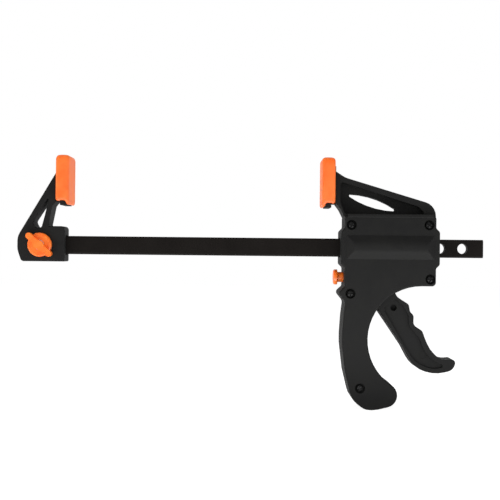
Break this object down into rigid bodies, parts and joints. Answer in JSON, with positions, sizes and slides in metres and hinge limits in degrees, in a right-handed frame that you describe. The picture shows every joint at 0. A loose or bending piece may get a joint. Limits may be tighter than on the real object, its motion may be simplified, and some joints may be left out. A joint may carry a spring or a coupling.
{
  "type": "quick release bar clamp",
  "caption": "Small one-handed bar clamp: a fixed jaw and a sliding trigger-grip jaw with a release button on a flat steel bar, with slip-on pads.",
  "frame": {"origin": "centre of the fixed pad's clamping face", "axes": "+X along the bar, from the fixed pad to the moving pad; +Z from the bar up to the pads; +Y to the side away from the wing knob"},
  "size_m": [0.189, 0.02, 0.1016],
  "materials": {
    "bar_steel": "black oxide, satin",
    "black_nylon": "moulded glass-filled nylon, fine texture",
    "orange_pad": "soft moulded pad, satin",
    "orange_plastic": "moulded plastic, satin",
    "zinc_steel": "zinc plated",
    "black_screw": "black oxide",
    "plate_steel": "hardened steel, blanked",
    "spring_steel": "spring wire"
  },
  "bodies": {
    "frame": {"bar": "bar_steel", "fixed_jaw": "black_nylon", "fixed_pad": "orange_pad", "jaw_nut": "zinc_steel"},
    "knob": {"knob": "orange_plastic", "knob_stud": "zinc_steel"},
    "carriage": {"housing_near": "black_nylon", "housing_far": "black_nylon", "moving_pad": "orange_pad", "housing_screws": "black_screw", "trigger_pin": "zinc_steel", "drive_spring": "spring_steel", "brake_spring": "spring_steel"},
    "trigger": {"trigger": "black_nylon"},
    "drive": {"drive_plate_front": "plate_steel", "drive_plate_rear": "plate_steel"},
    "button": {"release_button": "orange_plastic"},
    "brake": {"brake_plate": "plate_steel"}
  },
  "joints": [
    {"name": "jaw_slide", "type": "slide", "parent": "frame", "child": "carriage", "axis": [1, 0, 0], "range_m": [-0.1012, 0.0155]},
    {"name": "knob_turn", "type": "hinge", "parent": "frame", "child": "knob", "pos_m": [-0.01191, 0, -0.02625], "axis": [0, 1, 0], "continuous": true},
    {"name": "trigger_squeeze", "type": "hinge", "parent": "carriage", "child": "trigger", "pos_m": [0.12605, 0, -0.03975], "axis": [0, 1, 0], "range_deg": [0, 20], "stiffness_Nm_per_rad": 0.15, "springref_deg": -11.46},
    {"name": "drive_stroke", "type": "slide", "parent": "carriage", "child": "drive", "axis": [1, 0, 0], "range_m": [0, 0.0031], "deforming": ["drive_spring"]},
    {"name": "button_push", "type": "slide", "parent": "carriage", "child": "button", "axis": [1, 0, 0], "range_m": [0, 0.0023], "stiffness_N_per_m": 600, "springref_m": -0.002},
    {"name": "brake_release", "type": "hinge", "parent": "carriage", "child": "brake", "pos_m": [0.1183, 0, -0.01625], "axis": [0, -1, 0], "range_deg": [0, 6.1], "deforming": ["brake_spring"]}
  ],
  "couplings": [
    {"joint": "drive_stroke", "follows": "trigger_squeeze", "m_per_rad": 0.0086},
    {"joint": "brake_release", "follows": "button_push", "rad_per_m": 45.5}
  ]
}
